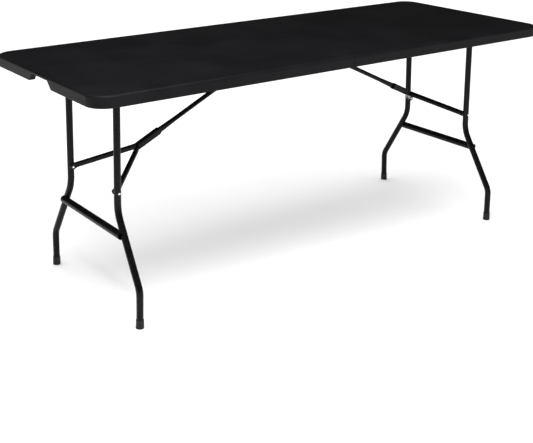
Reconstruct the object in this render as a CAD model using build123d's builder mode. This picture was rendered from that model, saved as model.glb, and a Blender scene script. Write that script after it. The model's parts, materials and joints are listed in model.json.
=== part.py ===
from build123d import *
from math import atan2, cos, hypot, pi, sin
from pathlib import Path

# Fold-in-half table: two blow-moulded halves hinged at a middle seam, each with a splayed leg frame that
# folds in under it and a Y-shaped brace with a sliding lock sleeve.
# Frame: millimetres, +X along the length, +Y across, +Z up, origin on the floor under the middle of the seam.
# Each half is laid out in its own distances: u is the distance from the seam plane, so x = side * u,
# and side is -1 for the left half and +1 for the right half.

Path("parts").mkdir(exist_ok=True)

# Driving dimensions: the top
LENGTH = 1800.0
WIDTH = 700.0
HEIGHT = 742.0
RIM_HEIGHT = 36.0
DECK_THICKNESS = 13.6
SKIN = 2.2
RIM_TOP_SKIN = 8.0
WALL_MARGIN = 5.0
RIB_GAP = 4.0
SEAM_HALF_GAP = 0.5
OUTER_CORNER_R = 60.0
TOP_EDGE_R = 8.0
BOTTOM_EDGE_R = 3.0
SIDE_WALL = 19.0
SEAM_WALL = 15.0
GRIP_BOTTOM_WIDTH = 146.0
GRIP_TOP_WIDTH = 106.0
GRIP_DEPTH = 25.0
GRIP_FLARE = 12.0
GRIP_FLARE_TOP = 3.0
GRIP_AIR_Y = 90.0
CHANNEL_HALF = 20.0
POCKET_START_U = 460.0
POCKET_HALF = 112.0
RAIL_SLOT_SIDE = 14.0
CUT_MARGIN = 1.0

# Driving dimensions: leg frames
LEG_TUBE_R = 11.0
TUBE_WALL = 1.3
LEG_PIVOT_U = 734.3
LEG_PIVOT_Z = 715.0
FOOT_U = 765.5
LEG_UPPER_Y = 157.0
LEG_LOWER_Y = 289.5
UPPER_BEND_Z = 328.0
LOWER_BEND_Z = 119.0
UPPER_BEND_R = 105.0
LOWER_BEND_R = 56.0
FOLD_END_ROOM = 22.0
CHANNEL_HEADROOM = 0.6
POCKET_HEADROOM = 1.0
SEAM_AIR_SETBACK = 8.0
POCKET_AIR_OVERLAP = 1.0
RECESS_AIR_SETBACK = 6.0
OUTER_SKIN_EXTRA = 1.0
GRIP_MOUTH_R = 5.0
GRIP_CROWN_R = 8.0
GRIP_CUT_EXTRA = 1.0
RAIL_RIM_STEP = 0.5
LEG_START_DROP = 4.0
BRACKET_SCREW_DROP = 2.0
CROSSBAR_Z = 267.0
CROSSBAR_R = 12.5
CROSSBAR_OUTSET = 9.5
PIVOT_TUBE_END_GAP = 1.4
PIVOT_PLUG_LENGTH = 8.0
JOURNAL_LENGTH = 9.0
FOOT_CAP_HEIGHT = 28.0
FOOT_CAP_TOP_R = 12.3
FOOT_CAP_BASE_R = 12.8
FOOT_CAP_FLOOR = 5.0

# Driving dimensions: brace, yoke and lock sleeve
BRACE_R = 7.5
BRACE_TAIL = 9.0
BRACE_ANCHOR_U = 44.0
BRACE_ANCHOR_Z = 726.0
YOKE_RIVET_Z = 390.0
BLADE_THICKNESS = 5.0
BLADE_HEIGHT = 19.0
BLADE_LENGTH = 50.0
BLADE_TAPER = 85.0
ARM_WIDTH = 14.0
ARM_HEIGHT = 19.0
ARM_PLATE_Y = 4.9
ARM_PLATE_THICKNESS = 4.0
ARM_LUG_Y = 141.0
ARM_LUG_THICKNESS = 4.4
ARM_PLATE_LENGTH = 30.0
ARM_SPREAD_START = (50.0, 20.6)
ARM_SPREAD_STOP = (188.0, 134.0)
ARM_LUG_START = 197.0
ARM_PLUG_LENGTH = 4.0
LUG_SPACER_R = 6.5
LUG_SPACER_LENGTH = 2.4
SLEEVE_LEG_SIDE = 30.0
SLEEVE_BRACE_SIDE = 58.0
SLEEVE_WIDTH = 19.4
SLEEVE_HEIGHT = 22.4
SLEEVE_INNER_WIDTH = 15.8
SLEEVE_INNER_HEIGHT = 19.8
SLEEVE_CLOSED_LENGTH = 20.0
SLEEVE_CORNER_R = 5.0
SLEEVE_INNER_CORNER_R = 0.6
SLEEVE_OPENING_DEPTH = 8.0
TAB_LENGTH = 12.0
TAB_HEIGHT = 11.0
TAB_THICKNESS = 9.0
TAB_STANDOFF = 3.0
TAB_RISE = 2.0
TAB_CORNER_R = 2.5

# Driving dimensions: rails, hinges and fasteners
RAIL_Y = 317.0
RAIL_WIDTH = 18.0
RAIL_WALL = 1.5
RAIL_SEAM_U = 1.5
RAIL_END_U = 850.0
RAIL_SCREW_U = (140.0, 310.0, 480.0, 650.0, 820.0)
BUSH_R = 8.0
BUSH_LENGTH = 6.0
BUSH_FLANGE_R = 10.8
BUSH_FLANGE_THICKNESS = 1.1
JOURNAL_R = 5.5
HINGE_LEAF_THICKNESS = 2.5
HINGE_LEAF_LENGTH = 110.0
HINGE_EYE_R = 7.0
HINGE_LEAF_DEPTH = 12.0
HINGE_LEAF_GAP = 0.15
HINGE_NECK_U = (8.0, 22.0)
HINGE_PIN_R = 3.0
HINGE_PIN_HEAD_R = 5.5
HINGE_PIN_HEAD_HEIGHT = 2.0
RIVET_R = 3.0
RIVET_HEAD_R = 4.2
RIVET_HEAD_HEIGHT = 2.4
RIVET_HEAD_TAPER = 25.0
ANCHOR_PIN_R = 4.0
ANCHOR_HEAD_R = 6.5
ANCHOR_HEAD_HEIGHT = 2.0
PIN_HEAD_TAPER = 20.0
BRACKET_HALF_LENGTH = 17.0
BRACKET_SHEET = 2.0
BRACKET_EAR_Y = (9.0, 11.0)
BRACKET_FLANGE_Y = 47.0
BRACKET_EAR_BELOW = 11.0
BRACKET_EAR_ABOVE = 9.0
BRACKET_BRIDGE = 4.0
BRACKET_SCREW_DU = 8.0
BRACKET_SCREW_Y = 34.0
BRACKET_WINDOW_HALF = 8.0
BRACKET_WINDOW_DEPTH = 3.0
SCREW_R = 2.0
SCREW_HEAD_R = 4.4
SCREW_HEAD_HEIGHT = 2.4
SCREW_DEPTH = 8.0
SCREW_HEAD_EDGE_R = 1.2
SCREW_TIP_GAP = 1.0

# Driving dimensions: carry handle on the right half's rear side
HANDLE_U = 450.0
HANDLE_POST_SPACING = 98.0
HANDLE_PIVOT_STANDOFF = 8.0
HANDLE_PIVOT_Z = 722.0
HANDLE_REACH = 66.0
HANDLE_ARCH_RISE = 30.0
HANDLE_STRAP_THICKNESS = 8.0
HANDLE_STRAP_WIDTH = 18.0
HANDLE_OVERHANG = 10.0
HANDLE_STRAP_EDGE_R = 2.0
HANDLE_EYE_WIDTH = 10.0
HANDLE_EYE_R = 6.0
HANDLE_EYE_GAP = 0.3
HANDLE_POST_THICKNESS = 10.0
HANDLE_POST_WAIST = 6.0
HANDLE_WAIST_DROP = 26.0
HANDLE_POST_DROP = 43.0
HANDLE_PIN_R = 2.5
HANDLE_PIN_HEAD_R = 4.0
HANDLE_PIN_HEAD_HEIGHT = 1.0
BRACKET_PLATE_LENGTH = 38.0
BRACKET_PLATE_WIDTH = 18.0
BRACKET_PLATE_THICKNESS = 1.8
BRACKET_PLATE_TAPER = 15.0
BRACKET_EAR_R = 5.5
BRACKET_EAR_THICKNESS = 3.0
BRACKET_SCREW_DX = 14.0
BRACKET_SCREW_HEAD_R = 3.6
BRACKET_SCREW_HEAD_HEIGHT = 2.0

# Running and assembly clearances
RUNNING_CLEARANCE = 0.05
FIT_CLEARANCE = 0.02

# Derived levels
rim_bottom = HEIGHT - RIM_HEIGHT
deck_bottom = HEIGHT - DECK_THICKNESS
hinge_z = rim_bottom
recess_end_u = LENGTH / 2 - SIDE_WALL
recess_half_width = WIDTH / 2 - SIDE_WALL

# Leg line in the (u, z) plane
leg_slope = (FOOT_U - LEG_PIVOT_U) / LEG_PIVOT_Z


def leg_u(z):
    """Distance from the seam of the leg's centre line at height z."""
    return LEG_PIVOT_U + leg_slope * (LEG_PIVOT_Z - z)


def leg_y(z):
    """Distance of the leg's diagonal from the middle plane at height z."""
    share = (UPPER_BEND_Z - z) / (UPPER_BEND_Z - LOWER_BEND_Z)
    return LEG_UPPER_Y + share * (LEG_LOWER_Y - LEG_UPPER_Y)


# Brace line from its anchor to the yoke rivets. The two links are in line when the legs stand, and lie
# level and doubled back when the legs are folded, which sets where the joint between them is.
rivet_u = leg_u(YOKE_RIVET_Z)
brace_drop = BRACE_ANCHOR_Z - YOKE_RIVET_Z
brace_line = hypot(rivet_u - BRACE_ANCHOR_U, brace_drop)
brace_angle = atan2(brace_drop, rivet_u - BRACE_ANCHOR_U)
rivet_from_pivot = hypot(rivet_u - LEG_PIVOT_U, LEG_PIVOT_Z - YOKE_RIVET_Z)
folded_gap = LEG_PIVOT_U - rivet_from_pivot - BRACE_ANCHOR_U
folded_step = BRACE_ANCHOR_Z - LEG_PIVOT_Z
brace_length = (brace_line**2 - folded_gap**2 - folded_step**2) / (2 * (brace_line - folded_gap))

# Channel for the folded brace and pocket for the folded yoke, moulded up into the deck
fold_end_u = BRACE_ANCHOR_U + brace_length + FOLD_END_ROOM
channel_u = (SEAM_WALL, fold_end_u)
channel_top = BRACE_ANCHOR_Z + SLEEVE_HEIGHT / 2 + CHANNEL_HEADROOM
pocket_u = (POCKET_START_U, fold_end_u)
pocket_top = BRACE_ANCHOR_Z + ARM_HEIGHT / 2 + POCKET_HEADROOM

# Air spaces of the deck on each side of the middle: (u range, inner |y|)
deck_air_spans = (
    ((SEAM_WALL + SEAM_AIR_SETBACK, pocket_u[0] - RIB_GAP), CHANNEL_HALF + RIB_GAP),
    ((pocket_u[0] - POCKET_AIR_OVERLAP, pocket_u[1] + POCKET_AIR_OVERLAP), POCKET_HALF + RIB_GAP),
    ((pocket_u[1] + RIB_GAP, recess_end_u - RECESS_AIR_SETBACK), RIB_GAP),
)


def rail_screw_places():
    """(u, y) of the screws that hold a half's two rails."""
    return [(u, end * RAIL_Y) for u in RAIL_SCREW_U for end in (-1, 1)]


def bracket_screw_places():
    """(u, y) of the screws that hold a half's brace bracket."""
    offsets = (-BRACKET_SCREW_DU, BRACKET_SCREW_DU)
    return [(BRACE_ANCHOR_U + du, end * BRACKET_SCREW_Y) for du in offsets for end in (-1, 1)]


def handle_screw_places():
    """(x, z) of the screws that hold the handle's two brackets."""
    posts = [HANDLE_U + end * HANDLE_POST_SPACING / 2 for end in (-1, 1)]
    return [(post + end * BRACKET_SCREW_DX, HANDLE_PIVOT_Z) for post in posts for end in (-1, 1)]


def save(piece, name):
    """Label a finished piece and write it."""
    piece.part.label = name
    export_step(piece.part, f"parts/{name}.step")


def side_plane(side, y=0.0):
    """Upright plane across the table's width, with sketch axes u and z."""
    return Plane(origin=(0, y, 0), x_dir=(side, 0, 0), z_dir=(0, -side, 0))


def across(side, u, z, y=0.0):
    """Plane facing +Y, for round things that lie across the table."""
    return Plane(origin=(side * u, y, z), x_dir=(side, 0, 0), z_dir=(0, 1, 0))


def brace_direction(side):
    """Unit vector down the brace, from its anchor towards the yoke rivets."""
    return Vector(side * cos(brace_angle), 0, -sin(brace_angle))


def brace_point(side, along, y=0.0):
    """Point at a distance along the brace line from its anchor."""
    return Vector(side * BRACE_ANCHOR_U, y, BRACE_ANCHOR_Z) + brace_direction(side) * along


def brace_section(side, along, y=0.0):
    """Plane square to the brace line, with sketch x along +Y."""
    return Plane(origin=brace_point(side, along, y), x_dir=(0, 1, 0), z_dir=brace_direction(side))


def brace_flat(side, along, y=0.0):
    """Plane along the brace line and square to +Y, with sketch x down the brace."""
    return Plane(origin=brace_point(side, along, y), x_dir=brace_direction(side), z_dir=(0, 1, 0))


def block(side, u, y, z, mode=Mode.ADD):
    """Box between two u, two y and two z values."""
    centre = (side * (u[0] + u[1]) / 2, (y[0] + y[1]) / 2, (z[0] + z[1]) / 2)
    with Locations(centre):
        Box(u[1] - u[0], y[1] - y[0], z[1] - z[0], mode=mode)


def tube_section(radius):
    """Ring section of a tube in the current sketch."""
    Circle(radius)
    Circle(radius - TUBE_WALL, mode=Mode.SUBTRACT)


def top_panel(side, name):
    """Half of the top: smooth deck, deep rim, hollow walls and a recess that takes the folded frame."""
    with BuildPart() as panel:
        with BuildSketch(Plane.XY.offset(rim_bottom)) as outline:
            with Locations((side * (LENGTH / 4 + SEAM_HALF_GAP / 2), 0)):
                Rectangle(LENGTH / 2 - SEAM_HALF_GAP, WIDTH)
            corners = outline.vertices().filter_by(lambda v: abs(v.X) > LENGTH / 4)
            fillet(corners, radius=OUTER_CORNER_R)
        extrude(amount=RIM_HEIGHT)
        upper = panel.faces().sort_by(Axis.Z)[-1].edges().filter_by(lambda e: abs(e.center().X) > 1)
        fillet(upper, radius=TOP_EDGE_R)
        lower = panel.faces().sort_by(Axis.Z)[0].edges().filter_by(lambda e: abs(e.center().X) > 1)
        fillet(lower, radius=BOTTOM_EDGE_R)
        # Recess for the folded leg frame
        with BuildSketch(Plane.XY.offset(rim_bottom)) as recess:
            with Locations((side * (SEAM_WALL + SEAM_HALF_GAP + recess_end_u) / 2, 0)):
                Rectangle(recess_end_u - SEAM_WALL - SEAM_HALF_GAP, 2 * recess_half_width)
            corners = recess.vertices().filter_by(lambda v: abs(v.X) > LENGTH / 4)
            fillet(corners, radius=OUTER_CORNER_R - SIDE_WALL)
        extrude(amount=deck_bottom - rim_bottom, mode=Mode.SUBTRACT)
        # Moulded channel for the folded brace and pocket for the folded yoke
        below_deck = deck_bottom - CUT_MARGIN
        block(side, channel_u, (-CHANNEL_HALF, CHANNEL_HALF), (below_deck, channel_top), Mode.SUBTRACT)
        block(side, pocket_u, (-POCKET_HALF, POCKET_HALF), (below_deck, pocket_top), Mode.SUBTRACT)
        # Slots in the seam wall for the rails and the middle hinges
        for end in (-1, 1):
            slot_y = sorted((end * (RAIL_Y - RAIL_SLOT_SIDE), end * recess_half_width))
            slot_u = (0, SEAM_WALL + 2 * CUT_MARGIN)
            block(side, slot_u, slot_y, (rim_bottom - CUT_MARGIN, deck_bottom), Mode.SUBTRACT)
        # Hand grip notch in the outer end wall
        with BuildSketch(Plane(origin=(side * recess_end_u, 0, 0), x_dir=(0, 1, 0), z_dir=(1, 0, 0))) as grip:
            foot = (GRIP_BOTTOM_WIDTH / 2 + GRIP_FLARE, rim_bottom - GRIP_FLARE_TOP)
            mouth = (GRIP_BOTTOM_WIDTH / 2, rim_bottom + GRIP_FLARE_TOP)
            crown = (GRIP_TOP_WIDTH / 2, rim_bottom + GRIP_DEPTH)
            with BuildLine():
                FilletPolyline(
                    (-foot[0], foot[1]),
                    (-mouth[0], mouth[1]),
                    (-crown[0], crown[1]),
                    crown,
                    mouth,
                    foot,
                    radius=(GRIP_MOUTH_R, GRIP_CROWN_R, GRIP_CROWN_R, GRIP_MOUTH_R),
                )
                Line(foot, (-foot[0], foot[1]))
            make_face()
        extrude(amount=SIDE_WALL + GRIP_CUT_EXTRA, both=True, mode=Mode.SUBTRACT)
        # Air spaces inside the double-walled deck and rim
        deck_air = (deck_bottom + SKIN, HEIGHT - SKIN)
        rim_air = (rim_bottom + SKIN, HEIGHT - RIM_TOP_SKIN)
        side_air_u = (SEAM_WALL + WALL_MARGIN, LENGTH / 2 - OUTER_CORNER_R - WALL_MARGIN)
        end_air_u = (recess_end_u + SKIN, LENGTH / 2 - SKIN - OUTER_SKIN_EXTRA)
        outer_air_y = WIDTH / 2 - SKIN - OUTER_SKIN_EXTRA
        for end in (-1, 1):
            for air_u, inner_y in deck_air_spans:
                air_y = sorted((end * inner_y, end * (recess_half_width - RECESS_AIR_SETBACK)))
                block(side, air_u, air_y, deck_air, Mode.SUBTRACT)
            side_air_y = sorted((end * (recess_half_width + SKIN), end * outer_air_y))
            block(side, side_air_u, side_air_y, rim_air, Mode.SUBTRACT)
            end_air_y = sorted((end * GRIP_AIR_Y, end * (WIDTH / 2 - OUTER_CORNER_R - WALL_MARGIN)))
            block(side, end_air_u, end_air_y, rim_air, Mode.SUBTRACT)
        # Pilot holes for the rail and bracket screws
        with BuildSketch(Plane.XY.offset(below_deck)):
            with Locations([(side * u, y) for u, y in rail_screw_places() + bracket_screw_places()]):
                Circle(SCREW_R + FIT_CLEARANCE)
        extrude(amount=SCREW_DEPTH + CUT_MARGIN, mode=Mode.SUBTRACT)
        if side > 0:
            # Pilot holes for the handle screws
            for x, z in handle_screw_places():
                with Locations(Plane(origin=(x, WIDTH / 2, z), z_dir=(0, 1, 0))):
                    Cylinder(SCREW_R + FIT_CLEARANCE, 2 * SCREW_DEPTH, mode=Mode.SUBTRACT)
    save(panel, name)


def screws(side, places, seat_z, name):
    """Group of pan-head screws driven up into the deck, their heads under a seat."""
    with BuildPart() as group:
        for u, y in places:
            with BuildSketch(Plane.XY.offset(seat_z)):
                with Locations((side * u, y)):
                    Circle(SCREW_HEAD_R)
            extrude(amount=-SCREW_HEAD_HEIGHT)
            with BuildSketch(Plane.XY.offset(seat_z)):
                with Locations((side * u, y)):
                    Circle(SCREW_R)
            extrude(amount=deck_bottom + SCREW_DEPTH - SCREW_TIP_GAP - seat_z)
        fillet(group.edges().group_by(Axis.Z)[0], radius=SCREW_HEAD_EDGE_R)
    save(group, name)


def rail(side, end, name):
    """Pressed steel channel, open downwards, along one long side of a half."""
    y = end * RAIL_Y
    with BuildPart() as channel:
        block(
            side,
            (RAIL_SEAM_U, RAIL_END_U),
            (y - RAIL_WIDTH / 2, y + RAIL_WIDTH / 2),
            (rim_bottom + RAIL_RIM_STEP, deck_bottom),
        )
        block(
            side,
            (RAIL_SEAM_U - CUT_MARGIN, RAIL_END_U + CUT_MARGIN),
            (y - RAIL_WIDTH / 2 + RAIL_WALL, y + RAIL_WIDTH / 2 - RAIL_WALL),
            (rim_bottom - CUT_MARGIN, deck_bottom - RAIL_WALL),
            Mode.SUBTRACT,
        )
        # Pivot hole through the inner web
        inner_y = end * (RAIL_Y - RAIL_WIDTH / 2 + RAIL_WALL / 2)
        with BuildSketch(across(side, LEG_PIVOT_U, LEG_PIVOT_Z, inner_y)):
            Circle(BUSH_R + FIT_CLEARANCE)
        extrude(amount=RAIL_WALL, both=True, mode=Mode.SUBTRACT)
        # Screw holes through the flange
        with BuildSketch(Plane.XY.offset(deck_bottom + CUT_MARGIN)):
            with Locations([(side * u, y) for u in RAIL_SCREW_U]):
                Circle(SCREW_R + FIT_CLEARANCE)
        extrude(amount=-RAIL_WALL - 2 * CUT_MARGIN, mode=Mode.SUBTRACT)
    save(channel, name)


def pivot_bushes(side, name):
    """Two flanged nylon bushes, one in each rail's inner web, that carry the leg frame's pivot tube."""
    web_face = RAIL_Y - RAIL_WIDTH / 2
    with BuildPart() as bushes:
        for end in (-1, 1):
            with BuildSketch(across(side, LEG_PIVOT_U, LEG_PIVOT_Z, end * web_face)):
                Circle(BUSH_R)
                Circle(JOURNAL_R + RUNNING_CLEARANCE, mode=Mode.SUBTRACT)
            extrude(amount=end * BUSH_LENGTH)
            with BuildSketch(across(side, LEG_PIVOT_U, LEG_PIVOT_Z, end * web_face)):
                Circle(BUSH_FLANGE_R)
                Circle(JOURNAL_R + RUNNING_CLEARANCE, mode=Mode.SUBTRACT)
            extrude(amount=-end * BUSH_FLANGE_THICKNESS)
    save(bushes, name)


def brace_bracket(side, name):
    """Pressed steel bracket on the deck: two flanges, and two ears that hold the brace's anchor pin."""
    u = (BRACE_ANCHOR_U - BRACKET_HALF_LENGTH, BRACE_ANCHOR_U + BRACKET_HALF_LENGTH)
    sheet_z = (deck_bottom - BRACKET_SHEET, deck_bottom)
    ear_z = (BRACE_ANCHOR_Z - BRACKET_EAR_BELOW, BRACE_ANCHOR_Z + BRACKET_EAR_ABOVE)
    window_u = (BRACE_ANCHOR_U - BRACKET_WINDOW_HALF, BRACE_ANCHOR_U + BRACKET_WINDOW_HALF)
    window_z = (sheet_z[0] - CUT_MARGIN, sheet_z[1] + CUT_MARGIN)
    inner_y, outer_y = BRACKET_EAR_Y
    with BuildPart() as bracket:
        for end in (-1, 1):
            block(side, u, sorted((end * inner_y, end * BRACKET_FLANGE_Y)), sheet_z)
            block(side, u, sorted((end * inner_y, end * outer_y)), ear_z)
            # Window in the flange for the anchor pin's head
            window_y = sorted((end * outer_y, end * (outer_y + BRACKET_WINDOW_DEPTH)))
            block(side, window_u, window_y, window_z, Mode.SUBTRACT)
        # Bridge between the ears, behind the brace's end
        block(side, (u[0], u[0] + BRACKET_BRIDGE), (-inner_y, inner_y), sheet_z)
        with BuildSketch(across(side, BRACE_ANCHOR_U, BRACE_ANCHOR_Z)):
            Circle(ANCHOR_PIN_R + FIT_CLEARANCE)
        extrude(amount=2 * outer_y, both=True, mode=Mode.SUBTRACT)
        with BuildSketch(Plane.XY.offset(deck_bottom + CUT_MARGIN)):
            with Locations([(side * hole_u, y) for hole_u, y in bracket_screw_places()]):
                Circle(SCREW_R + FIT_CLEARANCE)
        extrude(amount=-BRACKET_SHEET - 2 * CUT_MARGIN, mode=Mode.SUBTRACT)
    save(bracket, name)


def headed_pin(plane, radius, half_length, head_radius, head_height):
    """Pin centred on a plane, with a domed head at each end, in the current part."""
    with BuildSketch(plane) as shank:
        Circle(radius)
    extrude(shank.sketch, amount=half_length, both=True)
    for end in (-1, 1):
        outwards = Plane(origin=plane.offset(end * half_length).origin, z_dir=plane.z_dir * end)
        with BuildSketch(outwards) as head:
            Circle(head_radius)
        extrude(head.sketch, amount=head_height, taper=PIN_HEAD_TAPER)


def anchor_pin(side, name):
    """Rivet through the bracket's ears and the brace's upper end."""
    with BuildPart() as pin:
        plane = across(side, BRACE_ANCHOR_U, BRACE_ANCHOR_Z)
        headed_pin(plane, ANCHOR_PIN_R, BRACKET_EAR_Y[1], ANCHOR_HEAD_R, ANCHOR_HEAD_HEIGHT)
    save(pin, name)


def leg_pivot_tube(side, name):
    """Cross tube that the legs are welded to, with a turned journal at each end."""
    half = RAIL_Y - RAIL_WIDTH / 2 - PIVOT_TUBE_END_GAP
    plane = across(side, LEG_PIVOT_U, LEG_PIVOT_Z)
    with BuildPart() as tube:
        with BuildSketch(plane):
            Circle(LEG_TUBE_R)
        extrude(amount=half, both=True)
        with BuildSketch(plane):
            Circle(LEG_TUBE_R - TUBE_WALL)
        extrude(amount=half - PIVOT_PLUG_LENGTH, both=True, mode=Mode.SUBTRACT)
        for end in (-1, 1):
            with BuildSketch(plane.offset(end * half)):
                Circle(JOURNAL_R)
            extrude(amount=end * JOURNAL_LENGTH)
    save(tube, name)


def leg(side, end, name):
    """One bent leg tube: straight down from the pivot tube, spread outwards, then straight to the foot."""
    start_z = LEG_PIVOT_Z - LEG_START_DROP
    stop_z = FOOT_CAP_FLOOR
    route = [
        (side * leg_u(start_z), end * LEG_UPPER_Y, start_z),
        (side * leg_u(UPPER_BEND_Z), end * LEG_UPPER_Y, UPPER_BEND_Z),
        (side * leg_u(LOWER_BEND_Z), end * LEG_LOWER_Y, LOWER_BEND_Z),
        (side * leg_u(stop_z), end * LEG_LOWER_Y, stop_z),
    ]
    with BuildPart() as tube:
        with BuildLine() as centre:
            FilletPolyline(*route, radius=(UPPER_BEND_R, LOWER_BEND_R))
        with BuildSketch(Plane(origin=centre.line @ 0, z_dir=centre.line % 0)):
            tube_section(LEG_TUBE_R)
        sweep()
        # Saddle at the top, where the tube is welded to the pivot tube
        with BuildSketch(across(side, LEG_PIVOT_U, LEG_PIVOT_Z, end * LEG_UPPER_Y)):
            Circle(LEG_TUBE_R + FIT_CLEARANCE)
        extrude(amount=3 * LEG_TUBE_R, both=True, mode=Mode.SUBTRACT)
        # Hole for the yoke rivet
        with BuildSketch(across(side, rivet_u, YOKE_RIVET_Z, end * LEG_UPPER_Y)):
            Circle(RIVET_R + FIT_CLEARANCE)
        extrude(amount=2 * LEG_TUBE_R, both=True, mode=Mode.SUBTRACT)
    save(tube, name)


def leg_crossbar(side, name):
    """Straight tube between the legs' diagonals, set outboard so the folded brace passes behind it."""
    half = leg_y(CROSSBAR_Z)
    place = across(side, leg_u(CROSSBAR_Z) + CROSSBAR_OUTSET, CROSSBAR_Z)
    with BuildPart() as bar:
        with BuildSketch(place):
            tube_section(CROSSBAR_R)
        extrude(amount=half, both=True)
        for end in (-1, 1):
            down = Vector(
                side * (leg_u(LOWER_BEND_Z) - leg_u(UPPER_BEND_Z)),
                end * (LEG_LOWER_Y - LEG_UPPER_Y),
                LOWER_BEND_Z - UPPER_BEND_Z,
            )
            on_leg = (side * leg_u(CROSSBAR_Z), end * half, CROSSBAR_Z)
            with BuildSketch(Plane(origin=on_leg, z_dir=down)):
                Circle(LEG_TUBE_R + FIT_CLEARANCE)
            extrude(amount=4 * LEG_TUBE_R, both=True, mode=Mode.SUBTRACT)
    save(bar, name)


def foot_cap(side, end, name):
    """Moulded cap over the leg's end, flat where it meets the floor."""
    up = Vector(-side * leg_slope, 0, 1)
    base = Vector(side * FOOT_U, end * LEG_LOWER_Y, 0)
    below = 2.0
    with BuildPart() as cap:
        with BuildSketch(Plane(origin=base - up * below, z_dir=up)):
            Circle(FOOT_CAP_BASE_R)
        with BuildSketch(Plane(origin=base + up * FOOT_CAP_HEIGHT, z_dir=up)):
            Circle(FOOT_CAP_TOP_R)
        loft()
        with BuildSketch(Plane(origin=base + up * FOOT_CAP_FLOOR, z_dir=up)):
            Circle(LEG_TUBE_R + FIT_CLEARANCE)
        extrude(amount=FOOT_CAP_HEIGHT, mode=Mode.SUBTRACT)
        split(bisect_by=Plane.XY, keep=Keep.TOP)
    save(cap, name)


def leg_rivets(side, name):
    """Rivet shanks through the two legs, with their heads on the outer faces."""
    with BuildPart() as rivets:
        for end in (-1, 1):
            middle = across(side, rivet_u, YOKE_RIVET_Z, end * LEG_UPPER_Y)
            with BuildSketch(middle):
                Circle(RIVET_R)
            extrude(amount=LEG_TUBE_R, both=True)
            head_seat = middle.offset(end * LEG_TUBE_R).origin
            with BuildSketch(Plane(origin=head_seat, z_dir=(0, end, 0))):
                Circle(RIVET_HEAD_R)
            extrude(amount=RIVET_HEAD_HEIGHT, taper=RIVET_HEAD_TAPER)
    save(rivets, name)


def brace(side, name):
    """Brace tube, flattened at its lower end into a blade that the yoke's plates clasp."""
    tube_end = brace_length - BLADE_LENGTH - BLADE_TAPER
    blade_start = brace_length - BLADE_LENGTH
    with BuildPart() as link:
        with BuildSketch(brace_section(side, -BRACE_TAIL)):
            Circle(BRACE_R)
        extrude(amount=tube_end + BRACE_TAIL)
        with BuildSketch(brace_section(side, tube_end)):
            Circle(BRACE_R)
        with BuildSketch(brace_section(side, blade_start)):
            Rectangle(BLADE_THICKNESS, BLADE_HEIGHT)
        loft()
        with BuildSketch(brace_flat(side, brace_length)):
            Rectangle(BLADE_LENGTH, BLADE_HEIGHT, align=(Align.MAX, Align.CENTER))
            Circle(BLADE_HEIGHT / 2)
        extrude(amount=BLADE_THICKNESS / 2, both=True)
        with BuildSketch(brace_section(side, -BRACE_TAIL)):
            Circle(BRACE_R - TUBE_WALL)
        extrude(amount=tube_end, mode=Mode.SUBTRACT)
        with BuildSketch(brace_flat(side, 0)):
            Circle(ANCHOR_PIN_R + RUNNING_CLEARANCE)
        extrude(amount=2 * BRACE_R, both=True, mode=Mode.SUBTRACT)
        with BuildSketch(brace_flat(side, brace_length)):
            Circle(RIVET_R + RUNNING_CLEARANCE)
        extrude(amount=2 * BRACE_R, both=True, mode=Mode.SUBTRACT)
    save(link, name)


def yoke_arm(side, end, name):
    """One arm of the Y: a flat plate at the joint, a tube that spreads out to the leg, and a riveted lug."""
    start_along, start_y = ARM_SPREAD_START
    stop_along, stop_y = ARM_SPREAD_STOP
    spread_start = brace_point(side, brace_length + start_along, end * start_y)
    spread_stop = brace_point(side, brace_length + stop_along, end * stop_y)
    spread = spread_stop - spread_start
    lug_start = brace_length + ARM_LUG_START
    with BuildPart() as arm:
        with BuildSketch(brace_flat(side, brace_length, end * ARM_PLATE_Y)):
            Rectangle(ARM_PLATE_LENGTH, ARM_HEIGHT, align=(Align.MIN, Align.CENTER))
            Circle(ARM_HEIGHT / 2)
        extrude(amount=ARM_PLATE_THICKNESS / 2, both=True)
        with BuildSketch(brace_section(side, brace_length + ARM_PLATE_LENGTH, end * ARM_PLATE_Y)):
            Rectangle(ARM_PLATE_THICKNESS, ARM_HEIGHT)
        with BuildSketch(Plane(origin=spread_start, x_dir=(0, 1, 0), z_dir=spread)):
            Ellipse(ARM_WIDTH / 2, ARM_HEIGHT / 2)
        loft()
        with BuildSketch(Plane(origin=spread_start, x_dir=(0, 1, 0), z_dir=spread)):
            Ellipse(ARM_WIDTH / 2, ARM_HEIGHT / 2)
        extrude(amount=spread.length)
        with BuildSketch(Plane(origin=spread_stop, x_dir=(0, 1, 0), z_dir=spread)):
            Ellipse(ARM_WIDTH / 2, ARM_HEIGHT / 2)
        with BuildSketch(brace_section(side, lug_start, end * ARM_LUG_Y)):
            Rectangle(ARM_LUG_THICKNESS, ARM_HEIGHT)
        loft()
        with BuildSketch(brace_flat(side, brace_line, end * ARM_LUG_Y)):
            Rectangle(brace_line - lug_start, ARM_HEIGHT, align=(Align.MAX, Align.CENTER))
            Circle(ARM_HEIGHT / 2)
        extrude(amount=ARM_LUG_THICKNESS / 2, both=True)
        # The spreading length is a tube
        bore_start = spread_start + spread.normalized() * ARM_PLUG_LENGTH
        with BuildSketch(Plane(origin=bore_start, x_dir=(0, 1, 0), z_dir=spread)):
            Ellipse(ARM_WIDTH / 2 - TUBE_WALL, ARM_HEIGHT / 2 - TUBE_WALL)
        extrude(amount=spread.length - 2 * ARM_PLUG_LENGTH, mode=Mode.SUBTRACT)
        for along, y in ((brace_length, ARM_PLATE_Y), (brace_line, ARM_LUG_Y)):
            with BuildSketch(brace_flat(side, along, end * y)):
                Circle(RIVET_R + FIT_CLEARANCE)
            extrude(amount=2 * ARM_PLATE_THICKNESS, both=True, mode=Mode.SUBTRACT)
    save(arm, name)


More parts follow.
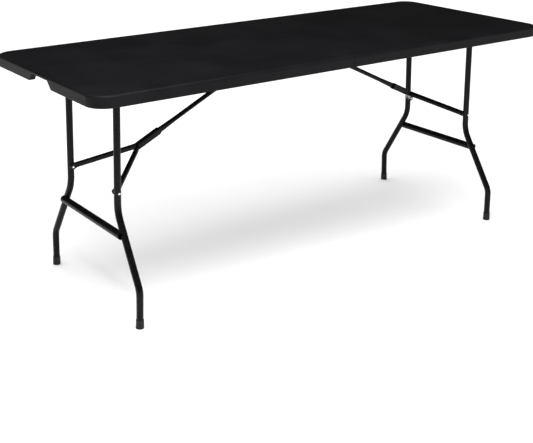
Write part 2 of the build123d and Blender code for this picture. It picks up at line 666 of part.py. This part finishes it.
def yoke_pin(side, name):
    """Flush pin through both yoke plates and the brace's blade."""
    half = ARM_PLATE_Y + ARM_PLATE_THICKNESS / 2
    with BuildPart() as pin:
        with BuildSketch(brace_flat(side, brace_length)):
            Circle(RIVET_R)
        extrude(amount=half, both=True)
    save(pin, name)


def yoke_rivets(side, name):
    """Inner halves of the leg rivets: domed head, shank through the lug and a spacer towards the leg."""
    with BuildPart() as rivets:
        for end in (-1, 1):
            lug = brace_flat(side, brace_line, end * ARM_LUG_Y)
            with BuildSketch(lug):
                Circle(RIVET_R)
            extrude(amount=ARM_LUG_THICKNESS / 2, both=True)
            head_seat = lug.offset(-end * ARM_LUG_THICKNESS / 2).origin
            with BuildSketch(Plane(origin=head_seat, z_dir=(0, -end, 0))):
                Circle(RIVET_HEAD_R)
            extrude(amount=RIVET_HEAD_HEIGHT, taper=RIVET_HEAD_TAPER)
            with BuildSketch(lug.offset(end * ARM_LUG_THICKNESS / 2)):
                Circle(LUG_SPACER_R)
            extrude(amount=end * LUG_SPACER_LENGTH)
    save(rivets, name)


def lock_sleeve(side, name):
    """Sliding sleeve that locks the joint: closed at the brace end, open below where the yoke swings out."""
    length = SLEEVE_LEG_SIDE + SLEEVE_BRACE_SIDE
    start = brace_length - SLEEVE_BRACE_SIDE
    with BuildPart() as sleeve:
        with BuildSketch(brace_section(side, start)):
            RectangleRounded(SLEEVE_WIDTH, SLEEVE_HEIGHT, radius=SLEEVE_CORNER_R)
            RectangleRounded(
                SLEEVE_INNER_WIDTH,
                SLEEVE_INNER_HEIGHT,
                radius=SLEEVE_INNER_CORNER_R,
                mode=Mode.SUBTRACT,
            )
        extrude(amount=length)
        # Open the underside where the yoke's plates leave the sleeve
        with BuildSketch(brace_section(side, start + SLEEVE_CLOSED_LENGTH)):
            with Locations((0, -side * SLEEVE_HEIGHT / 2)):
                Rectangle(SLEEVE_INNER_WIDTH, SLEEVE_OPENING_DEPTH)
        extrude(amount=length, mode=Mode.SUBTRACT)
        # Thumb tab on the rear flank at the leg end
        tab_y = SLEEVE_WIDTH / 2 + TAB_STANDOFF
        with BuildSketch(brace_flat(side, brace_length + SLEEVE_LEG_SIDE, tab_y)):
            with Locations((-TAB_LENGTH / 2, side * TAB_RISE)):
                RectangleRounded(TAB_LENGTH, TAB_HEIGHT, radius=TAB_CORNER_R)
        extrude(amount=TAB_THICKNESS / 2, both=True)
    save(sleeve, name)


def hinge_leaf(side, end, name):
    """Middle hinge leaf: a strip inside the rail, welded under its flange, with an eye on the seam line."""
    y = end * RAIL_Y + side * (HINGE_LEAF_THICKNESS / 2 + HINGE_LEAF_GAP)
    weld_z = deck_bottom - RAIL_WALL
    eye_edge = HINGE_EYE_R * cos(pi / 4)
    with BuildPart() as leaf:
        with BuildSketch(side_plane(side, y)):
            with BuildLine():
                Polyline(
                    (-eye_edge, hinge_z + eye_edge),
                    (HINGE_NECK_U[0], weld_z),
                    (HINGE_LEAF_LENGTH, weld_z),
                    (HINGE_LEAF_LENGTH, weld_z - HINGE_LEAF_DEPTH),
                    (HINGE_NECK_U[1], weld_z - HINGE_LEAF_DEPTH),
                    (eye_edge, hinge_z - eye_edge),
                    close=True,
                )
            make_face()
            with Locations((0, hinge_z)):
                Circle(HINGE_EYE_R)
                Circle(HINGE_PIN_R + RUNNING_CLEARANCE, mode=Mode.SUBTRACT)
        extrude(amount=HINGE_LEAF_THICKNESS / 2, both=True)
    save(leaf, name)


def hinge_pin(end, name):
    """Rivet that joins a pair of middle hinge leaves."""
    with BuildPart() as pin:
        plane = across(1, 0, hinge_z, end * RAIL_Y)
        half = HINGE_LEAF_THICKNESS + 2 * HINGE_LEAF_GAP
        headed_pin(plane, HINGE_PIN_R, half, HINGE_PIN_HEAD_R, HINGE_PIN_HEAD_HEIGHT)
    save(pin, name)


def handle_brackets(name):
    """Two flared brackets on the right half's rear side, each a base with two ears."""
    pivot_y = WIDTH / 2 + HANDLE_PIVOT_STANDOFF
    ear_offset = HANDLE_EYE_WIDTH / 2 + HANDLE_EYE_GAP + BRACKET_EAR_THICKNESS / 2
    with BuildPart() as brackets:
        for end in (-1, 1):
            x = HANDLE_U + end * HANDLE_POST_SPACING / 2
            seat = Plane(origin=(x, WIDTH / 2, HANDLE_PIVOT_Z), x_dir=(1, 0, 0), z_dir=(0, 1, 0))
            with BuildSketch(seat):
                SlotOverall(BRACKET_PLATE_LENGTH, BRACKET_PLATE_WIDTH)
            extrude(amount=BRACKET_PLATE_THICKNESS, taper=BRACKET_PLATE_TAPER)
            for ear in (-1, 1):
                ear_x = x + ear * ear_offset
                with BuildSketch(Plane(origin=(ear_x, 0, 0), x_dir=(0, 1, 0), z_dir=(1, 0, 0))):
                    with Locations((pivot_y, HANDLE_PIVOT_Z)):
                        Circle(BRACKET_EAR_R)
                    with Locations((WIDTH / 2 + HANDLE_PIVOT_STANDOFF / 2, HANDLE_PIVOT_Z)):
                        Rectangle(HANDLE_PIVOT_STANDOFF, 2 * BRACKET_EAR_R)
                extrude(amount=BRACKET_EAR_THICKNESS / 2, both=True)
            with BuildSketch(Plane(origin=(x, pivot_y, HANDLE_PIVOT_Z), z_dir=(1, 0, 0))):
                Circle(HANDLE_PIN_R + FIT_CLEARANCE)
            extrude(amount=2 * HANDLE_EYE_WIDTH, both=True, mode=Mode.SUBTRACT)
        for x, z in handle_screw_places():
            with Locations(Plane(origin=(x, WIDTH / 2, z), z_dir=(0, 1, 0))):
                Cylinder(SCREW_R + FIT_CLEARANCE, 2 * HANDLE_PIVOT_STANDOFF, mode=Mode.SUBTRACT)
    save(brackets, name)


def handle_pins(name):
    """Two pins through the brackets' ears and the handle's eyes."""
    half = HANDLE_EYE_WIDTH / 2 + HANDLE_EYE_GAP + BRACKET_EAR_THICKNESS
    with BuildPart() as pins:
        for end in (-1, 1):
            x = HANDLE_U + end * HANDLE_POST_SPACING / 2
            origin = (x, WIDTH / 2 + HANDLE_PIVOT_STANDOFF, HANDLE_PIVOT_Z)
            plane = Plane(origin=origin, z_dir=(1, 0, 0))
            headed_pin(plane, HANDLE_PIN_R, half, HANDLE_PIN_HEAD_R, HANDLE_PIN_HEAD_HEIGHT)
    save(pins, name)


def handle_screws(name):
    """Four screws that hold the handle's brackets to the rim."""
    with BuildPart() as group:
        for x, z in handle_screw_places():
            seat = Plane(origin=(x, WIDTH / 2 + BRACKET_PLATE_THICKNESS, z), z_dir=(0, 1, 0))
            with BuildSketch(seat):
                Circle(BRACKET_SCREW_HEAD_R)
            extrude(amount=BRACKET_SCREW_HEAD_HEIGHT, taper=PIN_HEAD_TAPER)
            with BuildSketch(seat):
                Circle(SCREW_R)
            extrude(amount=-SCREW_DEPTH)
    save(group, name)


def handle_grip(name):
    """Moulded carry handle, hanging at rest: an arched strap that overhangs its two waisted posts."""
    pivot_y = WIDTH / 2 + HANDLE_PIVOT_STANDOFF
    post = HANDLE_POST_SPACING / 2
    half_span = post + HANDLE_OVERHANG
    outer_mid = HANDLE_PIVOT_Z - HANDLE_REACH
    inner_mid = outer_mid + HANDLE_STRAP_THICKNESS
    outer_end = (half_span, outer_mid + HANDLE_ARCH_RISE)
    inner_end = (half_span, inner_mid + HANDLE_ARCH_RISE)
    face_plane = Plane(origin=(HANDLE_U, pivot_y, 0), x_dir=(1, 0, 0), z_dir=(0, -1, 0))
    eye_half = HANDLE_EYE_WIDTH / 2
    waist_half = HANDLE_POST_WAIST / 2
    waist_z = HANDLE_PIVOT_Z - HANDLE_WAIST_DROP
    post_end_z = HANDLE_PIVOT_Z - HANDLE_POST_DROP
    with BuildPart() as grip:
        with BuildSketch(face_plane):
            with BuildLine():
                ThreePointArc((-inner_end[0], inner_end[1]), (0, inner_mid), inner_end)
                Line(inner_end, outer_end)
                ThreePointArc(outer_end, (0, outer_mid), (-outer_end[0], outer_end[1]))
                Line((-outer_end[0], outer_end[1]), (-inner_end[0], inner_end[1]))
            make_face()
        extrude(amount=HANDLE_STRAP_WIDTH / 2, both=True)
        fillet(grip.edges().filter_by(GeomType.CIRCLE), radius=HANDLE_STRAP_EDGE_R)
        for end in (-1, 1):
            with BuildSketch(face_plane):
                with BuildLine():
                    Polyline(
                        (end * post - eye_half, HANDLE_PIVOT_Z),
                        (end * post - waist_half, waist_z),
                        (end * post - waist_half, post_end_z),
                        (end * post + waist_half, post_end_z),
                        (end * post + waist_half, waist_z),
                        (end * post + eye_half, HANDLE_PIVOT_Z),
                        close=True,
                    )
                make_face()
            extrude(amount=HANDLE_POST_THICKNESS / 2, both=True)
            eye = Plane(origin=(HANDLE_U + end * post, pivot_y, HANDLE_PIVOT_Z), z_dir=(1, 0, 0))
            with BuildSketch(eye):
                Circle(HANDLE_EYE_R)
            extrude(amount=eye_half, both=True)
            with BuildSketch(eye):
                Circle(HANDLE_PIN_R + RUNNING_CLEARANCE)
            extrude(amount=HANDLE_EYE_WIDTH, both=True, mode=Mode.SUBTRACT)
    save(grip, name)


ENDS = (("front", -1), ("rear", 1))

for half, side in (("left", -1), ("right", 1)):
    top_panel(side, f"{half}_top")
    screws(side, rail_screw_places(), deck_bottom - RAIL_WALL, f"{half}_rail_screws")
    screws(side, bracket_screw_places(), deck_bottom - BRACKET_SCREW_DROP, f"{half}_bracket_screws")
    pivot_bushes(side, f"{half}_pivot_bushes")
    brace_bracket(side, f"{half}_brace_bracket")
    anchor_pin(side, f"{half}_anchor_pin")
    leg_pivot_tube(side, f"{half}_leg_pivot_tube")
    leg_crossbar(side, f"{half}_leg_crossbar")
    leg_rivets(side, f"{half}_leg_rivets")
    brace(side, f"{half}_brace")
    yoke_pin(side, f"{half}_yoke_pin")
    yoke_rivets(side, f"{half}_yoke_rivets")
    lock_sleeve(side, f"{half}_lock_sleeve")
    for row, end in ENDS:
        rail(side, end, f"{half}_rail_{row}")
        leg(side, end, f"{half}_leg_{row}")
        foot_cap(side, end, f"{half}_foot_{row}")
        yoke_arm(side, end, f"{half}_yoke_arm_{row}")
        hinge_leaf(side, end, f"{half}_hinge_leaf_{row}")

for row, end in ENDS:
    hinge_pin(end, f"hinge_pin_{row}")

handle_brackets("handle_brackets")
handle_pins("handle_pins")
handle_screws("handle_screws")
handle_grip("handle_grip")
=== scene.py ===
import json
import math

import bpy
from mathutils import Matrix, Vector

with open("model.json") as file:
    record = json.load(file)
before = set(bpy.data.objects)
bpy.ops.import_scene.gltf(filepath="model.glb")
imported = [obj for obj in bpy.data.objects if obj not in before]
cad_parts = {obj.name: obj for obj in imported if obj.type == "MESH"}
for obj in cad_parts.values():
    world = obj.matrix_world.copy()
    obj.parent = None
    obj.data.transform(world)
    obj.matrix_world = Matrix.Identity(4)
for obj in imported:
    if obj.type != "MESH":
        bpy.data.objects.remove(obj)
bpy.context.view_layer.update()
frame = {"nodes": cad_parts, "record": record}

# Lengths are in metres and colours are linear red, green and blue. A texture's own number says how many
# of its features fit in a metre.

# Camera, fitted to the photograph's view: from the front left, looking down on the table
CAMERA_PLACE = (-2.0196, -2.6161, 1.3925)
CAMERA_AZIMUTH = math.radians(35.994)
CAMERA_DOWN = math.radians(21.705)
CAMERA_ROLL = math.radians(0.162)
CAMERA_LENS_MM = 66.04
CAMERA_SENSOR_MM = 36.0
CAMERA_SHIFT = (0.0173, -0.0023)

# Lamps. SKY_HEADING is the way the sky panel's light travels.
SKY_STRENGTH = 0.7
SKY_SPREAD = math.radians(40)
SKY_HEADING = (0.05, -0.22, -1.0)
FRONT_BOX_PLACE = (-0.80, -1.00, 2.2)
FRONT_BOX_TARGET = (-0.70, -0.30, 0.74)
FRONT_BOX_SIZE = (1.7, 0.7)
FRONT_BOX_WATTS = 48
LEFT_BOX_PLACE = (-3.4, -1.6, 1.8)
LEFT_BOX_TARGET = (0, 0, 0.4)
LEFT_BOX_SIZE = (2.0, 1.6)
LEFT_BOX_WATTS = 3

# Room: its strength as light, as the camera sees it, and in reflections. MIRROR_LOW and MIRROR_HIGH each
# pair the upward part of a direction with the grey that the reflected room has there.
ROOM_LIGHT = 1.15
ROOM_SEEN = 0.93
ROOM_MIRRORED = 1.0
MIRROR_LOW = (0.35, 0.010)
MIRROR_HIGH = (0.95, 0.10)
WHITE = (1.0, 1.0, 1.0, 1)

# Stretches of a texture's 0 to 1 range
FULL = (0, 1)
CLOUD_BAND = (0.35, 0.65)
WIDE_BAND = (0.3, 0.7)

# Colours: the dark and the light end that each surface wanders between
TOP_COLOURS = ((0.0044, 0.0044, 0.0051), (0.0064, 0.0064, 0.0073))
COAT_COLOURS = ((0.0026, 0.0026, 0.0029), (0.0044, 0.0044, 0.0048))
ZINC_COLOURS = ((0.52, 0.52, 0.51), (0.72, 0.72, 0.70))
NYLON_COLOURS = ((0.020, 0.020, 0.020), (0.032, 0.032, 0.032))
FOOT_COLOURS = ((0.0050, 0.0050, 0.0053), (0.0100, 0.0100, 0.0105))
HANDLE_COLOURS = ((0.0100, 0.0100, 0.0105), (0.0160, 0.0160, 0.0165))
FLOOR_COLOURS = ((0.860, 0.860, 0.862), (0.880, 0.880, 0.881))

# Table top
TOP_CLOUD = 6
TOP_ROUGHNESS = (0.44, 0.50)
TOP_SCUFFS = 190
TOP_SCUFF_STRETCH = (0.05, 1, 1)
TOP_SCUFF_BAND = (0.60, 0.72)
TOP_SCUFF_POLISH = 0.07
TOP_PEBBLES = 850
TOP_PEBBLE_HEIGHT = 0.00030
TOP_WAVES = 45
TOP_WAVE_HEIGHT = 0.00040
UNDERSIDE_FACING = (-0.6, -0.9)
DIMPLES = 22
DIMPLE_EDGE = (0.20, 0.30)
DIMPLE_HEIGHT = 0.0015

# Powder coat
COAT_CLOUD = 28
COAT_ROUGHNESS_SPREAD = 0.06
COAT_RUBS = 140
COAT_RUB_BAND = (0.58, 0.70)
COAT_PEEL = 620
COAT_PEEL_HEIGHT = 0.00022

# Zinc plate
ZINC_MOTTLE = 260
ZINC_GLOSS = 900
ZINC_ROUGHNESS = (0.22, 0.36)
ZINC_GRAIN = 1500
ZINC_GRAIN_HEIGHT = 0.00008

# Small moulded parts
MOULDED_CLOUD = 60
MOULDED_ROUGHNESS_SPREAD = 0.08
MOULDED_GRAIN_HEIGHT = 0.00015
NYLON_GRAIN = 1400
FOOT_GRAIN = 1100
HANDLE_GRAIN = 1000
FOOT_DUST_HEIGHT = 0.012
DUST_ROUGHNESS = 0.20

# Floor
FLOOR_HALF = 40.0
FLOOR_DROP = 0.0005
FLOOR_CLOUD = 1.3
FLOOR_ROUGHNESS = (0.80, 0.88)


class Surface:
    """One procedural material, built from object-space textures in metres."""

    def __init__(self, name, specular, metallic=0.0):
        self.material = bpy.data.materials.new(name)
        self.material.use_nodes = True
        self.tree = self.material.node_tree
        self.tree.nodes.clear()
        self.shader = self.add("ShaderNodeBsdfPrincipled")
        self.shader.inputs["Specular IOR Level"].default_value = specular
        self.shader.inputs["Metallic"].default_value = metallic
        self.output = self.add("ShaderNodeOutputMaterial")
        self.link(self.shader.outputs["BSDF"], self.output.inputs["Surface"])
        self.coords = self.add("ShaderNodeTexCoord")
        self.normal = None

    def add(self, kind, **settings):
        """A new node. Each setting is the value of an input or of the node's own property."""
        node = self.tree.nodes.new(kind)
        for key, value in settings.items():
            if key in node.inputs:
                node.inputs[key].default_value = value
            else:
                setattr(node, key, value)
        return node

    def link(self, source, target):
        self.tree.links.new(source, target)

    def noise(self, scale, detail, stretch=(1.0, 1.0, 1.0)):
        """Noise with features about 1 / scale metres across, longer along an axis scaled down by stretch."""
        mapping = self.add("ShaderNodeMapping", Scale=stretch)
        self.link(self.coords.outputs["Object"], mapping.inputs["Vector"])
        texture = self.add("ShaderNodeTexNoise", Scale=scale, Detail=detail)
        self.link(mapping.outputs["Vector"], texture.inputs["Vector"])
        return texture.outputs["Fac"]

    def cloud(self, scale, detail, band=CLOUD_BAND):
        """Noise with its middle band spread out to run from 0 to 1."""
        return self.remap(self.noise(scale, detail), band, FULL)

    def cells(self, scale, randomness=1.0, dimensions="3D"):
        """Distance to the nearest of points about 1 / scale metres apart, counted in that spacing."""
        texture = self.add("ShaderNodeTexVoronoi", voronoi_dimensions=dimensions)
        texture.inputs["Scale"].default_value = scale
        texture.inputs["Randomness"].default_value = randomness
        self.link(self.coords.outputs["Object"], texture.inputs["Vector"])
        return texture.outputs["Distance"]

    def axis(self, output, name):
        """One component of the object's coordinates or of its own surface direction."""
        split = self.add("ShaderNodeSeparateXYZ")
        self.link(self.coords.outputs[output], split.inputs["Vector"])
        return split.outputs[name]

    def remap(self, value, source, result):
        """Takes the source range to the result range, and holds the ends."""
        node = self.add("ShaderNodeMapRange")
        node.inputs["From Min"].default_value = source[0]
        node.inputs["From Max"].default_value = source[1]
        node.inputs["To Min"].default_value = result[0]
        node.inputs["To Max"].default_value = result[1]
        self.link(value, node.inputs["Value"])
        return node.outputs["Result"]

    def combine(self, operation, first, second):
        node = self.add("ShaderNodeMath", operation=operation)
        self.link(first, node.inputs[0])
        self.link(second, node.inputs[1])
        return node.outputs["Value"]

    def colour(self, value, dark, light):
        """Runs the base colour from dark to light as value goes from 0 to 1."""
        node = self.add("ShaderNodeValToRGB")
        node.color_ramp.elements[0].color = (*dark, 1.0)
        node.color_ramp.elements[1].color = (*light, 1.0)
        self.link(value, node.inputs["Fac"])
        self.link(node.outputs["Color"], self.shader.inputs["Base Color"])

    def roughness(self, value):
        self.link(value, self.shader.inputs["Roughness"])

    def bump(self, height, strength, distance):
        """Lifts the surface by distance where height is 1, on top of any bump before it."""
        node = self.add("ShaderNodeBump", Strength=strength, Distance=distance)
        self.link(height, node.inputs["Height"])
        if self.normal is not None:
            self.link(self.normal, node.inputs["Normal"])
        self.normal = node.outputs["Normal"]
        self.link(self.normal, self.shader.inputs["Normal"])


def top_plastic():
    """Blow-moulded black polyethylene: pebbled, faintly cloudy, scuffed lengthwise, dimpled underneath."""
    surface = Surface("top_plastic", specular=0.085)
    cloud = surface.cloud(TOP_CLOUD, detail=5)
    surface.colour(cloud, *TOP_COLOURS)
    streaks = surface.noise(TOP_SCUFFS, detail=4, stretch=TOP_SCUFF_STRETCH)
    scuffs = surface.remap(streaks, TOP_SCUFF_BAND, (0, -TOP_SCUFF_POLISH))
    surface.roughness(surface.combine("ADD", surface.remap(cloud, FULL, TOP_ROUGHNESS), scuffs))
    under = surface.remap(surface.axis("Normal", "Z"), UNDERSIDE_FACING, FULL)
    grid = surface.cells(DIMPLES, randomness=0, dimensions="2D")
    dimples = surface.remap(grid, DIMPLE_EDGE, FULL)
    surface.bump(surface.combine("MULTIPLY", dimples, under), strength=1.0, distance=DIMPLE_HEIGHT)
    surface.bump(surface.cells(TOP_PEBBLES), strength=0.35, distance=TOP_PEBBLE_HEIGHT)
    surface.bump(surface.noise(TOP_WAVES, detail=2), strength=0.10, distance=TOP_WAVE_HEIGHT)
    return surface.material


def powder_coat(name, specular, smooth, rub):
    """Black powder coat over steel: fine orange peel, and patches rubbed smoother by as much as rub."""
    surface = Surface(name, specular=specular)
    cloud = surface.cloud(COAT_CLOUD, detail=4)
    surface.colour(cloud, *COAT_COLOURS)
    coat = surface.remap(cloud, FULL, (smooth, smooth + COAT_ROUGHNESS_SPREAD))
    rubbed = surface.remap(surface.noise(COAT_RUBS, detail=5), COAT_RUB_BAND, (0, -rub))
    surface.roughness(surface.combine("ADD", coat, rubbed))
    surface.bump(surface.noise(COAT_PEEL, detail=2), strength=0.40, distance=COAT_PEEL_HEIGHT)
    return surface.material


def bright_zinc():
    """Bright zinc plate on rivets, screws and pins: faintly mottled, with a fine grain."""
    surface = Surface("bright_zinc", specular=0.5, metallic=1.0)
    surface.colour(surface.cloud(ZINC_MOTTLE, detail=4), *ZINC_COLOURS)
    surface.roughness(surface.remap(surface.noise(ZINC_GLOSS, detail=3), WIDE_BAND, ZINC_ROUGHNESS))
    surface.bump(surface.noise(ZINC_GRAIN, detail=2), strength=0.20, distance=ZINC_GRAIN_HEIGHT)
    return surface.material


def moulded(name, specular, smooth, grain, colours, dusty_height=0.0):
    """Moulded black plastic with a fine grain. Below dusty_height it is scuffed dull by the floor."""
    surface = Surface(name, specular=specular)
    cloud = surface.cloud(MOULDED_CLOUD, detail=4)
    surface.colour(cloud, *colours)
    body = surface.remap(cloud, FULL, (smooth, smooth + MOULDED_ROUGHNESS_SPREAD))
    if dusty_height > 0:
        dull = surface.remap(surface.axis("Object", "Z"), (0.0, dusty_height), (DUST_ROUGHNESS, 0.0))
        body = surface.combine("ADD", body, dull)
    surface.roughness(body)
    surface.bump(surface.cells(grain), strength=0.30, distance=MOULDED_GRAIN_HEIGHT)
    return surface.material


def foot_plastic():
    return moulded(
        "foot_plastic",
        specular=0.22,
        smooth=0.38,
        grain=FOOT_GRAIN,
        colours=FOOT_COLOURS,
        dusty_height=FOOT_DUST_HEIGHT,
    )


def finishes():
    """The finish for each material slot of the record."""
    return {
        "top_plastic": top_plastic(),
        "powder_coat": powder_coat("powder_coat", specular=0.11, smooth=0.22, rub=0.0),
        "sleeve_coat": powder_coat("sleeve_coat", specular=0.14, smooth=0.26, rub=0.12),
        "black_steel": powder_coat("black_steel", specular=0.24, smooth=0.36, rub=0.06),
        "bright_zinc": bright_zinc(),
        "nylon": moulded("nylon", specular=0.40, smooth=0.42, grain=NYLON_GRAIN, colours=NYLON_COLOURS),
        "foot_plastic": foot_plastic(),
        "handle_plastic": moulded(
            "handle_plastic", specular=0.50, smooth=0.26, grain=HANDLE_GRAIN, colours=HANDLE_COLOURS
        ),
    }


def finish_cad_nodes(surfaces):
    """Gives each CAD node the finish that the record names for it."""
    for part in frame["record"]["subparts"]:
        mesh = frame["nodes"][part["node"]].data
        mesh.materials.clear()
        mesh.materials.append(surfaces[part["material_slot"]])


def put_in_scene(name, data):
    thing = bpy.data.objects.new(name, data)
    bpy.context.scene.collection.objects.link(thing)
    return thing


def floor_material():
    """Pale seamless studio floor with the faintest mottle, clear when looked at from underneath."""
    surface = Surface("studio_floor", specular=0.10)
    cloud = surface.cloud(FLOOR_CLOUD, detail=4, band=WIDE_BAND)
    surface.colour(cloud, *FLOOR_COLOURS)
    surface.roughness(surface.remap(cloud, FULL, FLOOR_ROUGHNESS))
    side = surface.add("ShaderNodeNewGeometry")
    clear = surface.add("ShaderNodeBsdfTransparent")
    choose = surface.add("ShaderNodeMixShader")
    surface.link(side.outputs["Backfacing"], choose.inputs[0])
    surface.link(surface.shader.outputs["BSDF"], choose.inputs[1])
    surface.link(clear.outputs["BSDF"], choose.inputs[2])
    surface.link(choose.outputs["Shader"], surface.output.inputs["Surface"])
    return surface.material


def studio_floor():
    """One large square, just below the feet."""
    mesh = bpy.data.meshes.new("studio_floor")
    corners = [
        (x * FLOOR_HALF, y * FLOOR_HALF, -FLOOR_DROP)
        for x, y in ((-1, -1), (1, -1), (1, 1), (-1, 1))
    ]
    mesh.from_pydata(corners, [], [(0, 1, 2, 3)])
    mesh.materials.append(floor_material())
    put_in_scene("studio_floor", mesh)


def background(tree, strength):
    node = tree.nodes.new("ShaderNodeBackground")
    node.inputs["Color"].default_value = WHITE
    node.inputs["Strength"].default_value = strength
    return node


def mix_backgrounds(tree, chooser, first, second):
    """The first background where chooser is 0, and the second where it is 1."""
    node = tree.nodes.new("ShaderNodeMixShader")
    tree.links.new(chooser, node.inputs[0])
    tree.links.new(first, node.inputs[1])
    tree.links.new(second, node.inputs[2])
    return node.outputs["Shader"]


def studio_world():
    """A room that lights evenly and looks pale, but is dim in reflections, and dimmest low down."""
    world = bpy.data.worlds.new("studio")
    bpy.context.scene.world = world
    world.use_nodes = True
    tree = world.node_tree
    tree.nodes.clear()
    coords = tree.nodes.new("ShaderNodeTexCoord")
    split = tree.nodes.new("ShaderNodeSeparateXYZ")
    ramp = tree.nodes.new("ShaderNodeValToRGB")
    path = tree.nodes.new("ShaderNodeLightPath")
    output = tree.nodes.new("ShaderNodeOutputWorld")
    for element, (upward, grey) in zip(ramp.color_ramp.elements, (MIRROR_LOW, MIRROR_HIGH)):
        element.position = upward
        element.color = (grey, grey, grey, 1)
    lit = background(tree, ROOM_LIGHT)
    mirrored = background(tree, ROOM_MIRRORED)
    seen = background(tree, ROOM_SEEN)
    tree.links.new(coords.outputs["Generated"], split.inputs["Vector"])
    tree.links.new(split.outputs["Z"], ramp.inputs["Fac"])
    tree.links.new(ramp.outputs["Color"], mirrored.inputs["Color"])
    soft = mix_backgrounds(tree, path.outputs["Is Glossy Ray"], lit.outputs[0], mirrored.outputs[0])
    whole = mix_backgrounds(tree, path.outputs["Is Camera Ray"], soft, seen.outputs[0])
    tree.links.new(whole, output.inputs["Surface"])


def turned_along(direction):
    """The rotation that points a lamp along direction."""
    return Vector(direction).to_track_quat("-Z", "Y").to_euler()


def sky_panel():
    """A broad light from almost overhead, a little behind the table, for the faint shadow underneath."""
    data = bpy.data.lights.new("sky_panel", "SUN")
    data.energy = SKY_STRENGTH
    data.angle = SKY_SPREAD
    lamp = put_in_scene("sky_panel", data)
    lamp.rotation_euler = turned_along(SKY_HEADING)


def area_light(name, place, target, size, power):
    data = bpy.data.lights.new(name, "AREA")
    data.shape = "RECTANGLE"
    data.size, data.size_y = size
    data.energy = power
    lamp = put_in_scene(name, data)
    lamp.location = place
    lamp.rotation_euler = turned_along(Vector(target) - Vector(place))


def studio_lights():
    sky_panel()
    area_light("front_softbox", FRONT_BOX_PLACE, FRONT_BOX_TARGET, FRONT_BOX_SIZE, FRONT_BOX_WATTS)
    area_light("left_softbox", LEFT_BOX_PLACE, LEFT_BOX_TARGET, LEFT_BOX_SIZE, LEFT_BOX_WATTS)


def camera():
    """The camera at the photograph's viewing angle."""
    data = bpy.data.cameras.new("camera")
    data.lens = CAMERA_LENS_MM
    data.sensor_width = CAMERA_SENSOR_MM
    data.shift_x, data.shift_y = CAMERA_SHIFT
    ahead = Vector((
        math.sin(CAMERA_AZIMUTH) * math.cos(CAMERA_DOWN),
        math.cos(CAMERA_AZIMUTH) * math.cos(CAMERA_DOWN),
        -math.sin(CAMERA_DOWN),
    ))
    level = ahead.cross(Vector((0, 0, 1))).normalized()
    upright = level.cross(ahead)
    right = level * math.cos(CAMERA_ROLL) + upright * math.sin(CAMERA_ROLL)
    up = right.cross(ahead)
    turn = Matrix((right, up, -ahead)).transposed().to_4x4()
    view = put_in_scene("camera", data)
    view.matrix_world = Matrix.Translation(CAMERA_PLACE) @ turn
    bpy.context.scene.camera = view


finish_cad_nodes(finishes())
studio_floor()
studio_world()
studio_lights()
camera()
bpy.context.scene.view_settings.view_transform = "Standard"
